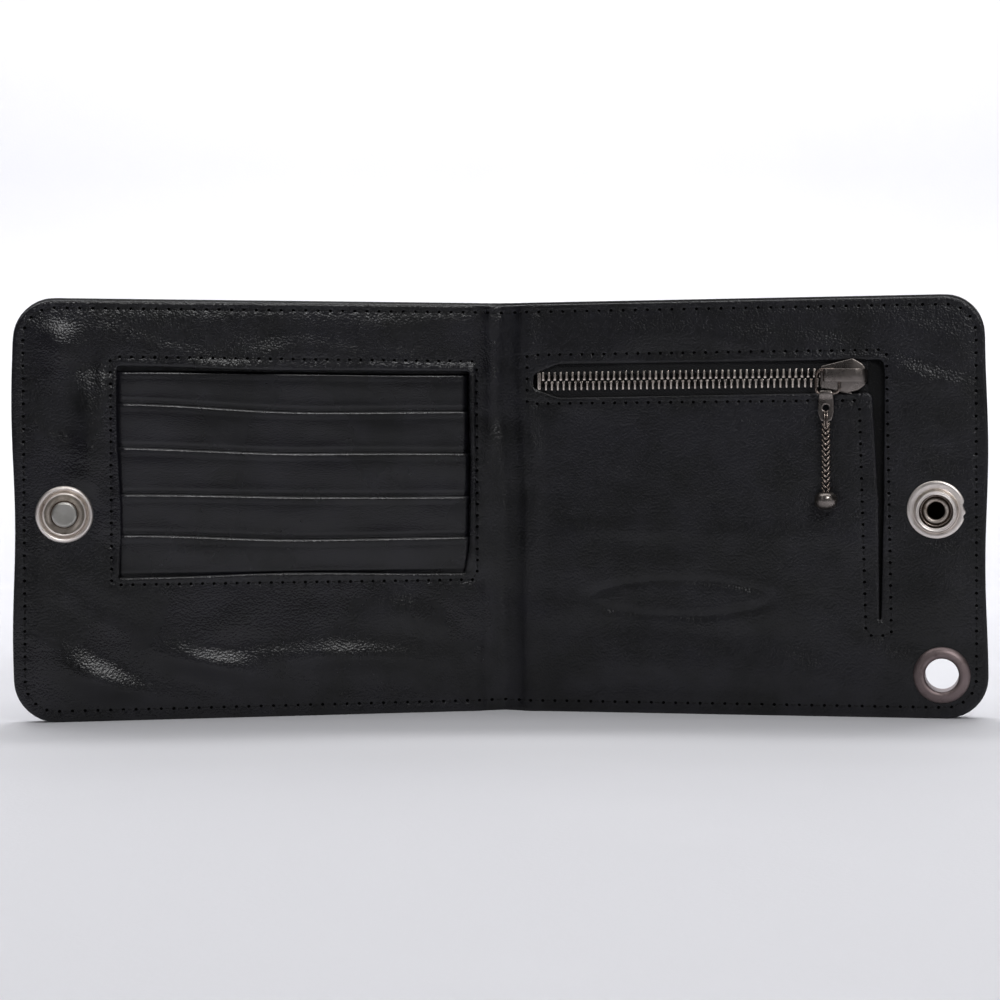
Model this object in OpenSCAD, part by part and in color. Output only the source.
// Bifold leather chain wallet, standing open on its bottom edges.
// The row frame is +Z up, with X along the width and the open V facing -Y.
// Each half is drawn flat in its own frame: X runs from the fold to the side edge,
// Y is the depth behind the inner face, and Z is the height. open_half() stands it up.

/* [Wallet] */
// Width of one half, from the fold line to its side edge
half_w = 120; // [116:1:124]
// Height of the inner panels
panel_h = 102; // [101:0.5:104]
// How far the outer cover stands above the inner panels
cover_rise = 1; // [0.5:0.25:2]
// Radius of the outer corners
corner_r = 10; // [9.5:0.5:12]
// Angle of each half away from lying flat
half_angle = 12; // [8:1:14]
// Distance between the two inner faces when the wallet is shut
shut_gap = 5; // [4.8:0.1:6]

/* [Leather layers] */
// Thickness of the inner panels
panel_t = 1; // [0.8:0.1:1]
// Thickness of one card pocket strip
strip_t = 0.5; // [0.4:0.05:0.5]
// Width of the turned hems
hem_w = 6; // [5:0.5:6]
// Thickness of the outer cover
cover_t = 1.8; // [1.6:0.1:2.2]
// Height of the gap in the bill compartment
bill_gap = 1; // [0.8:0.1:1.5]

/* [Card window] */
// Distance from the fold to the window's near side
window_u0 = 7; // [6:0.5:8]
// Width of the window
window_w = 87.6; // [86.5:0.1:88]
// Height of the window's lower edge
window_z0 = 34.4; // [32:0.2:36]
// Height of the window's upper edge
window_z1 = 86; // [85.6:0.1:87]

/* [Zip] */
// Height of the zip's centre line
zip_z = 82.8; // [81:0.2:84]
// Pitch of the teeth along one row
tooth_pitch = 1.5; // [1.4:0.05:1.6]
// How far the slider travels from shut to open
zip_travel = 66; // [40:1:66]

/* [Fasteners] */
// Distance from the fold to the two snap halves
snap_u = 107.2; // [105:0.2:108]
// Height of the two snap halves
snap_z = 50.3; // [48:0.1:52]
// Distance from the fold to the chain eyelet
eyelet_u = 108.5; // [107.5:0.1:109]
// Height of the chain eyelet
eyelet_z = 10.5; // [10:0.1:12]
// Radius of the hole in the chain eyelet
eyelet_r = 4; // [3.5:0.1:4.2]

/* [Hidden] */
$fn = 64;

// Depths behind the inner face
hem1_back = 2 * panel_t;                 // back of the inner panel's turned hem
pocket_back = 4;                         // back of the pocket stack
lining_front = pocket_back + bill_gap;   // front of the cover's lining
lining_back = lining_front + 0.4;
cover_back = lining_back + cover_t;      // outer face of the closed stack
coin_back_t = 0.8;
card_back_t = pocket_back - panel_t - 5 * strip_t;
cover_h = panel_h + cover_rise;

// Fold and spine
fold_clear = 0.15;                       // each half stops this far from the fold plane
axis_gap = shut_gap / 2;                 // the fold axis lies this far in front of the inner faces
inner_spine_w = 5;
cover_spine_w = 12;
// The fold axis lies behind the middle of the footprint, so that the box is centred on the origin
frame_y = 6.09;

// Card strips: the height of each lip, from the top pocket down
lip_z = [85.4, 76.6, 66, 54.9, 44.7];
card_depth = 43;
strip_floor = 8;
strip_side = 3;                          // how far a strip runs past the window on each side
lip_r = 0.35;
stitch_from_edge = 2.8;
stitch_from_window = 2.1;
thread_w = 0.5;
thread_h = 0.25;

// Zip opening
zip_u0 = 8.2;
zip_half = 4.3;                          // half the height of the opening
slit_u = 93.6;                           // centre line of the upright slit
slit_top_half = 0.9;
slit_bottom_half = 0.25;
slit_z0 = 23.5;
flap_corner_u = 92.7;
taper_w = 6;                             // the opening narrows over this width at its inner end
taper_half = 2.4;
tape_t = 0.5;
tape_w = 6;
tape_u1 = 90.3;
gusset_u0 = 90.6;
gusset_u1 = 98.5;
gusset_z0 = 20;

// Teeth
tooth_w = 0.65;
tooth_half = 2.15;                       // outer end of a tooth from the centre line
tooth_gap = 0.45;                        // inner end of a tooth, leaving the slider's neck a way through
tooth_front = 0.25;
tooth_back = 2.25;
teeth_u0 = 10.2;
teeth_count = 50;
stop_w = 0.9;

// Slider: lengths run from its centre
slider_u = 84.9;
slider_tail = -5.4;
slider_nose = 5.4;
tail_half = 2.7;
shoulder_at = 2.1;
shoulder_half = 4;
nose_half = 2.4;
top_plate = [-1, -0.05];
top_flange_end = 0.8;
bottom_plate = [2.55, 3.05];
bottom_flange_start = 1.7;
flange_w = 0.35;
neck_at = 3.2;
neck_l = 1.6;
neck_half = 0.35;
post_at = -3.9;                          // the crown's round post, on which the bail turns
post_r = 0.65;
crown_front = -3.3;
crown_t = 0.8;
crown_half = 1.45;
bail_y = -1.9;
bail_wire = 0.35;
bail_half = 2.5;
bail_top = zip_z + post_r + bail_wire + 0.1;
bail_bar = 78.9;                         // height of the bail's lower bar

// Pull: heights run down from the bail's lower bar
pull_lean = 2.7;                         // the pull hangs this many degrees off the face
knuckle_r = 0.85;
knuckle_hole = 0.47;
knuckle_w = 2.8;
tab_t = 0.8;
tab_hole_z = -4.5;
tab_hole_r = 1.1;
tab_end = -6.8;
connector_top = -5.05;
connector_bottom = -7.85;
connector_r = 0.85;
link_r = 0.95;
link_wire = 0.25;
first_link_z = -8.2;
link_pitch = 1.3;
links_each = 4;
ball_r = 2.8;
ball_half_h = 2.3;
ball_z = -26.1;

// Snaps, eyelet and caps: radii
snap_hole_r = 2.75;
stud_hole_r = 1.8;
eyelet_hole_r = eyelet_r + 0.5;
pad_r = 8.5;
cap_r = 7.5;
cap_h = 2.2;
cap_base_h = 0.5;

leather = "#1b1b1d";
leather_lining = "#2a2826";
tape_black = "#131315";
steel = "#b9b4ac";
old_metal = "#6d6260";
thread_black = "#0c0c0d";

// ---- Placing -------------------------------------------------------------------

// Stands a half up at its angle; side is 1 for the coin half and -1 for the card half.
module open_half(side) {
    translate([0, frame_y, 0])
        mirror([side < 0 ? 1 : 0, 0, 0])
            rotate([0, 0, -half_angle])
                translate([0, axis_gap, 0])
                    children();
}

// Extrudes a flat outline from depth y0 to depth y1.
module layer(y0, y1) {
    translate([0, y1, 0])
        rotate([90, 0, 0])
            linear_extrude(y1 - y0)
                children();
}

// Turns a profile of radius and height into a round part standing on the inner face.
module on_face(u, z, depth = 0) {
    translate([u, depth, z])
        rotate([90, 0, 0])
            children();
}

// ---- Flat outlines -------------------------------------------------------------

// A half's outline, from u0 to its side edge, drawn in by inset, with round outer corners.
module outline(u0, h, inset = 0) {
    r = corner_r - inset;
    edge = half_w - inset;
    translate([u0, corner_r]) square([edge - u0, h - 2 * corner_r]);
    translate([u0, inset]) square([edge - r - u0, h - 2 * inset]);
    for (z = [corner_r, h - corner_r]) translate([half_w - corner_r, z]) circle(r);
}

// The hem along the bottom, side and, if top is true, the top edge.
module hem(u0, h, top = true) {
    difference() {
        outline(u0, h);
        difference() {
            outline(u0 - 1, top ? h : h + hem_w + 1, hem_w);
            if (!top) translate([u0 - 1, h + 1]) square([half_w, hem_w + 2]);
        }
    }
}

module coin_holes() {
    translate([snap_u, snap_z]) circle(snap_hole_r);
    translate([eyelet_u, eyelet_z]) circle(eyelet_hole_r);
}

module card_holes() {
    translate([snap_u, snap_z]) circle(stud_hole_r);
}

module coin_pads() {
    for (p = [[snap_u, snap_z], [eyelet_u, eyelet_z]])
        intersection() {
            translate(p) circle(pad_r);
            outline(0, panel_h);
        }
}

module card_pads() {
    translate([snap_u, snap_z]) circle(pad_r);
}

module window(grow = 0) {
    translate([window_u0 - grow, window_z0 - grow])
        square([window_w + 2 * grow, window_z1 - window_z0 + 2 * grow]);
}

// The L-shaped zip opening: a level slot for the zip and an upright slit for the gusset.
module zip_opening() {
    polygon([
        [zip_u0, zip_z - taper_half],
        [zip_u0 + taper_w, zip_z - zip_half],
        [flap_corner_u - 1, zip_z - zip_half],
        [flap_corner_u, zip_z - zip_half - 1],
        [slit_u - slit_bottom_half, slit_z0],
        [slit_u + slit_bottom_half, slit_z0],
        [slit_u + slit_top_half, zip_z],
        [slit_u + slit_top_half, zip_z + zip_half],
        [zip_u0 + taper_w, zip_z + zip_half],
        [zip_u0, zip_z + taper_half]
    ]);
}

// The band that the zip's stitching follows, drawn in by inset.
module zip_stitch_area(inset = 0) {
    level = zip_half + 1.9 - inset;
    upright = 3.1 - inset;
    translate([zip_u0 - 1.6 + inset, zip_z - level])
        square([slit_u - zip_u0 + 1.6 + upright - inset, 2 * level]);
    translate([slit_u - upright, slit_z0 - 3.5 + inset])
        square([2 * upright, zip_z - slit_z0]);
}

// ---- Outer cover and linings ---------------------------------------------------

module outer_cover(side) {
    color(leather) open_half(side) layer(lining_back, cover_back)
        difference() {
            outline(cover_spine_w, cover_h);
            if (side > 0) coin_holes(); else card_holes();
        }
}

module cover_lining(side) {
    color(leather_lining) open_half(side) {
        layer(lining_front, lining_back) difference() {
            outline(fold_clear, panel_h);
            if (side > 0) coin_holes(); else card_holes();
        }
        layer(pocket_back, lining_front) difference() {
            union() {
                hem(fold_clear, panel_h, top = false);
                if (side > 0) coin_pads(); else card_pads();
            }
            if (side > 0) coin_holes(); else card_holes();
        }
    }
}

// A strip that bridges the fold, from one half to the other, between two depths.
module spine_strip(w, y0, y1, h) {
    c = cos(half_angle);
    s = sin(half_angle);
    near = axis_gap + y0;
    far = axis_gap + y1;
    translate([0, frame_y, 0]) linear_extrude(h) polygon([
        [0, near / c],
        [w * c + near * s, near * c - w * s],
        [w * c + far * s, far * c - w * s],
        [0, far / c],
        [-w * c - far * s, far * c - w * s],
        [-w * c - near * s, near * c - w * s]
    ]);
}

module cover_spine() {
    color(leather) spine_strip(cover_spine_w, lining_back, cover_back, cover_h);
}

module inner_spine() {
    color(leather) spine_strip(inner_spine_w, 0, panel_t, panel_h);
}

// ---- Coin half -----------------------------------------------------------------

module coin_panel() {
    color(leather) open_half(1) {
        layer(0, panel_t) difference() {
            outline(inner_spine_w, panel_h);
            zip_opening();
            coin_holes();
        }
        layer(panel_t, hem1_back) difference() {
            union() {
                hem(inner_spine_w, panel_h);
                coin_pads();
            }
            coin_holes();
        }
    }
}

module coin_pocket_back() {
    color(leather_lining) open_half(1) {
        layer(pocket_back - coin_back_t, pocket_back) difference() {
            outline(fold_clear, panel_h);
            coin_holes();
        }
        layer(hem1_back, pocket_back - coin_back_t) difference() {
            union() {
                hem(fold_clear, panel_h);
                coin_pads();
            }
            coin_holes();
        }
    }
}

module coin_pocket_lining() {
    lining_t = 0.3;
    color(tape_black) open_half(1)
        layer(panel_t + tape_t, panel_t + tape_t + lining_t)
            translate([inner_spine_w, hem_w + 0.3])
                square([gusset_u0 - inner_spine_w - 1.6, zip_z - zip_half - hem_w - 1.3]);
}

module coin_gusset() {
    color(leather) open_half(1)
        layer(panel_t, panel_t + tape_t)
            translate([gusset_u0, gusset_z0])
                square([gusset_u1 - gusset_u0, zip_z + tape_w - gusset_z0]);
}

// side is 1 for the upper tape and -1 for the lower one
module zip_tape(side) {
    low = side > 0 ? zip_z + tooth_half : zip_z - tooth_half - tape_w;
    color(tape_black) open_half(1)
        layer(panel_t, panel_t + tape_t)
            translate([inner_spine_w + 1, low])
                square([tape_u1 - inner_spine_w - 1, tape_w]);
}

module zip_teeth(side) {
    shift = side > 0 ? 0 : tooth_pitch / 2;
    low = side > 0 ? tooth_gap : -tooth_half;
    color(steel) open_half(1)
        for (i = [0 : teeth_count - 1])
            translate([teeth_u0 + shift + i * tooth_pitch, tooth_front, zip_z + low])
                cube([tooth_w, tooth_back - tooth_front, tooth_half - tooth_gap]);
}

module zip_bottom_stop() {
    color(steel) open_half(1)
        translate([teeth_u0 - stop_w - 0.2, tooth_front, zip_z - tooth_half])
            cube([stop_w, tooth_back - tooth_front, 2 * tooth_half]);
}

module zip_top_stops() {
    at = teeth_u0 + teeth_count * tooth_pitch + 0.1;
    color(steel) open_half(1)
        for (low = [tooth_gap, -tooth_half])
            translate([at, tooth_front, zip_z + low])
                cube([stop_w, tooth_back - tooth_front, tooth_half - tooth_gap]);
}

// ---- Slider and pull -----------------------------------------------------------

// The slider's plan, drawn in by inset on its sides.
module slider_plan(inset = 0) {
    polygon([
        [slider_tail, -tail_half + inset],
        [shoulder_at, -shoulder_half + inset],
        [slider_nose - 0.6, -nose_half + inset],
        [slider_nose, 0],
        [slider_nose - 0.6, nose_half - inset],
        [shoulder_at, shoulder_half - inset],
        [slider_tail, tail_half - inset]
    ]);
}

module slider_flanges() {
    intersection() {
        difference() {
            slider_plan();
            slider_plan(flange_w);
        }
        translate([slider_tail, -shoulder_half])
            square([shoulder_at - slider_tail, 2 * shoulder_half]);
    }
}

module slider_body() {
    color(steel) open_half(1) translate([slider_u, 0, zip_z]) {
        layer(top_plate[0], top_plate[1]) slider_plan();
        layer(top_plate[1], top_flange_end) slider_flanges();
        layer(bottom_flange_start, bottom_plate[0]) slider_flanges();
        layer(bottom_plate[0], bottom_plate[1]) slider_plan();
        layer(top_plate[1] - 0.1, bottom_plate[0] + 0.1)
            translate([neck_at - neck_l / 2, -neck_half])
                square([neck_l, 2 * neck_half]);
        on_face(post_at, 0, top_plate[0] + 0.1)
            cylinder(r = post_r, h = top_plate[0] - crown_front - crown_t + 0.2);
        layer(crown_front + crown_t - 0.1, top_plate[0] + 0.1)
            translate([slider_nose - 2.4, -crown_half])
                square([1.5, 2 * crown_half]);
        layer(crown_front, crown_front + crown_t) {
            translate([post_at, -crown_half])
                square([slider_nose - 0.9 - post_at, 2 * crown_half]);
            translate([post_at, 0]) circle(crown_half);
        }
    }
}

// A straight wire between two points of the bail's plane, [across, height].
module wire(a, b, r) {
    d = b - a;
    translate([a[0], 0, a[1]])
        rotate([0, atan2(d[0], d[1]), 0])
            cylinder(r = r, h = norm(d));
}

module pull_bail() {
    arch_z = bail_top - bail_half;
    corner = 0.6;
    color(steel) open_half(1) translate([slider_u + post_at, bail_y, 0]) {
        translate([0, 0, arch_z])
            rotate([90, 0, 0])
                rotate_extrude(angle = 180) translate([bail_half, 0]) circle(bail_wire);
        for (side = [-1, 1]) {
            wire([side * bail_half, bail_bar + corner], [side * bail_half, arch_z], bail_wire);
            translate([side * (bail_half - corner), 0, bail_bar + corner])
                rotate([90, 0, 0])
                    rotate_extrude(angle = 90, start = side > 0 ? 270 : 180)
                        translate([corner, 0]) circle(bail_wire);
        }
        wire([corner - bail_half, bail_bar], [bail_half - corner, bail_bar], bail_wire);
    }
}

// The pull's own frame: its origin is the middle of the bail's lower bar.
module hang() {
    open_half(1)
        translate([slider_u + post_at, bail_y, bail_bar])
            rotate([-pull_lean, 0, 0])
                children();
}

module pull_tab() {
    color(steel) hang() difference() {
        union() {
            translate([-knuckle_w / 2, 0, 0]) rotate([0, 90, 0])
                cylinder(r = knuckle_r, h = knuckle_w);
            layer(-tab_t / 2, tab_t / 2)
                polygon([
                    [-1.4, -0.7], [-1.9, -2.6], [-1.9, -5.2], [-1.3, tab_end],
                    [1.3, tab_end], [1.9, -5.2], [1.9, -2.6], [1.4, -0.7]
                ]);
        }
        translate([-knuckle_w, 0, 0]) rotate([0, 90, 0])
            cylinder(r = knuckle_hole, h = 2 * knuckle_w);
        on_face(0, tab_hole_z, tab_t) cylinder(r = tab_hole_r, h = 2 * tab_t);
    }
}

// One round link; even links face the front and odd links stand edge on.
module link(n) {
    translate([0, 0, first_link_z - n * link_pitch])
        rotate([90, 0, n % 2 == 0 ? 0 : 90])
            rotate_extrude() translate([link_r, 0]) circle(link_wire, $fn = 24);
}

module connector() {
    top = connector_top - connector_r;
    bottom = connector_bottom + connector_r;
    rotate([0, 0, 90]) {
        for (end = [[top, 0], [bottom, 180]])
            translate([0, 0, end[0]])
                rotate([90, 0, 0])
                    rotate_extrude(angle = 180, start = end[1])
                        translate([connector_r, 0]) circle(link_wire, $fn = 24);
        for (side = [-1, 1])
            translate([side * connector_r, 0, bottom])
                cylinder(r = link_wire, h = top - bottom, $fn = 24);
    }
}

module chain(part) {
    color(steel) hang() {
        if (part == 0) connector();
        for (n = [part * links_each : (part + 1) * links_each - 1]) link(n);
    }
}

module chain_ball() {
    color(steel) hang() {
        link(3 * links_each);
        intersection() {
            translate([0, 0, ball_z]) sphere(ball_r);
            translate([-ball_r, -ball_r, ball_z - ball_half_h])
                cube([2 * ball_r, 2 * ball_r, 2 * ball_half_h]);
        }
    }
}

// ---- Card half -----------------------------------------------------------------

module card_panel() {
    color(leather) open_half(-1) {
        layer(0, panel_t) difference() {
            outline(inner_spine_w, panel_h);
            window();
            card_holes();
        }
        layer(panel_t, hem1_back) difference() {
            union() {
                hem(inner_spine_w, panel_h);
                card_pads();
            }
            card_holes();
        }
    }
}

module card_pocket_back() {
    color(leather_lining) open_half(-1) {
        layer(pocket_back - card_back_t, pocket_back) difference() {
            outline(fold_clear, panel_h);
            card_holes();
        }
        layer(hem1_back, pocket_back - card_back_t) difference() {
            union() {
                hem(fold_clear, panel_h);
                card_pads();
            }
            card_holes();
        }
    }
}

// Strip n is a pocket front with a turned lip; strip 1 is the top one and lies deepest.
module card_strip(n) {
    front = panel_t + (5 - n) * strip_t;
    top = lip_z[n - 1];
    bottom = max(strip_floor, top - card_depth);
    color(leather) open_half(-1) {
        layer(front, front + strip_t)
            translate([window_u0 - strip_side, bottom])
                square([window_w + 2 * strip_side, top - bottom]);
        translate([window_u0 + 0.2, front, top - lip_r])
            rotate([0, 90, 0])
                cylinder(r = lip_r, h = window_w - 0.4, $fn = 24);
    }
}

// ---- Snap fastener, eyelet and caps --------------------------------------------

module snap_stud() {
    color(steel) open_half(-1) on_face(snap_u, snap_z) rotate_extrude() polygon([
        [1.65, 0], [6.95, 0], [6.95, 0.5], [6.6, 0.9], [5.9, 0.9], [5.6, 0.65],
        [5.2, 0.85], [3.6, 0.3], [2.8, 0.3], [2.8, 2.6], [3.1, 3], [3.1, 3.6],
        [2.6, 4], [0, 4], [0, 3], [1.65, 3]
    ]);
}

module snap_socket() {
    color(steel) open_half(1) on_face(snap_u, snap_z) rotate_extrude() polygon([
        [2.7, 0], [7.05, 0], [7.05, 0.45], [6.75, 0.7], [5.5, 0.7], [5.2, 1],
        [5.1, 2.3], [4.8, 2.6], [4.2, 2.6], [4, 2.4], [4, 0.25], [2.7, 0.25]
    ]);
}

module snap_spring() {
    spring_r = 3.7;
    wire_r = 0.26;
    color(steel) open_half(1) on_face(snap_u, snap_z) translate([0, 0, 1.6])
        rotate_extrude(angle = 300) translate([spring_r, 0]) circle(wire_r, $fn = 24);
}

// A plain domed cap on the outer face, with flat facets round its dome
module cap_dome() {
    steps = 8;
    rotate_extrude() polygon(concat(
        [[0, 0], [cap_r, 0], [cap_r, cap_base_h]],
        [for (i = [1 : steps])
            [cap_r * cos(i * 90 / steps), cap_base_h + (cap_h - cap_base_h) * sin(i * 90 / steps)]]
    ));
}

module snap_stud_cap() {
    post = [1.6, cover_back + 2.9];
    color(steel) open_half(-1) translate([snap_u, cover_back, snap_z]) {
        rotate([-90, 0, 0]) cap_dome();
        rotate([90, 0, 0]) cylinder(r = post[0], h = post[1]);
    }
}

module snap_socket_cap() {
    tube = [2.07, 2.6];
    rolled_end = [2.95, 0.27, 0.75];
    color(steel) open_half(1) translate([snap_u, cover_back, snap_z]) {
        rotate([-90, 0, 0]) cap_dome();
        rotate([90, 0, 0]) rotate_extrude() polygon([
            [tube[0], 0], [tube[1], 0], [tube[1], cover_back + rolled_end[1]],
            [rolled_end[0], cover_back + rolled_end[1]],
            [rolled_end[0], cover_back + rolled_end[2] - 0.2],
            [rolled_end[0] - 0.2, cover_back + rolled_end[2]],
            [tube[0], cover_back + rolled_end[2]]
        ]);
    }
}

module chain_eyelet() {
    wall_r = eyelet_r + 0.4;
    tail = -cover_back - 0.62;
    color(old_metal) open_half(1) on_face(eyelet_u, eyelet_z) rotate_extrude() polygon([
        [eyelet_r, 0.7], [eyelet_r + 0.25, 1], [eyelet_r + 0.7, 1.15], [eyelet_r + 1.6, 1.1],
        [eyelet_r + 2.4, 0.8], [eyelet_r + 2.9, 0.3], [eyelet_r + 2.9, 0],
        [wall_r, 0], [wall_r, tail], [eyelet_r + 1.4, tail], [eyelet_r + 1.4, tail - 0.2],
        [eyelet_r + 1, tail - 0.4], [eyelet_r + 0.3, tail - 0.35], [eyelet_r, tail - 0.1]
    ]);
}

module eyelet_washer() {
    color(old_metal) open_half(1) on_face(eyelet_u, eyelet_z, cover_back + 0.6)
        difference() {
            cylinder(r = eyelet_r + 3, h = 0.6);
            translate([0, 0, -1]) cylinder(r = eyelet_r + 0.5, h = 3);
        }
}

// ---- Threads -------------------------------------------------------------------

module edge_thread(side) {
    inset = stitch_from_edge - thread_w / 2;
    color(thread_black) open_half(side) layer(-thread_h, 0) difference() {
        outline(inner_spine_w + 0.2, panel_h, inset);
        outline(inner_spine_w - 1, panel_h, inset + thread_w);
    }
}

module window_thread() {
    color(thread_black) open_half(-1) layer(-thread_h, 0) difference() {
        window(stitch_from_window);
        window(stitch_from_window - thread_w);
    }
}

module zip_thread() {
    color(thread_black) open_half(1) layer(-thread_h, 0) difference() {
        zip_stitch_area();
        zip_stitch_area(thread_w);
    }
}

// ---- Nodes ---------------------------------------------------------------------

outer_cover(1);  // outer_cover_coin_side
outer_cover(-1);  // outer_cover_card_side
cover_spine();
inner_spine();
cover_lining(1);  // cover_lining_coin_side
cover_lining(-1);  // cover_lining_card_side
coin_panel();
coin_pocket_back();
coin_pocket_lining();
coin_gusset();
zip_tape(1);  // zip_tape_upper
zip_tape(-1);  // zip_tape_lower
zip_teeth(1);  // zip_teeth_upper
zip_teeth(-1);  // zip_teeth_lower
zip_bottom_stop();
zip_top_stops();
slider_body();
pull_bail();
pull_tab();
chain(0);  // chain_upper
chain(1);  // chain_middle
chain(2);  // chain_lower
chain_ball();
card_panel();
card_pocket_back();
card_strip(1);  // card_strip_1
card_strip(2);  // card_strip_2
card_strip(3);  // card_strip_3
card_strip(4);  // card_strip_4
card_strip(5);  // card_strip_5
snap_stud();
snap_stud_cap();
snap_socket();
snap_spring();
snap_socket_cap();
chain_eyelet();
eyelet_washer();
edge_thread(1);  // edge_thread_coin_side
edge_thread(-1);  // edge_thread_card_side
window_thread();
zip_thread();
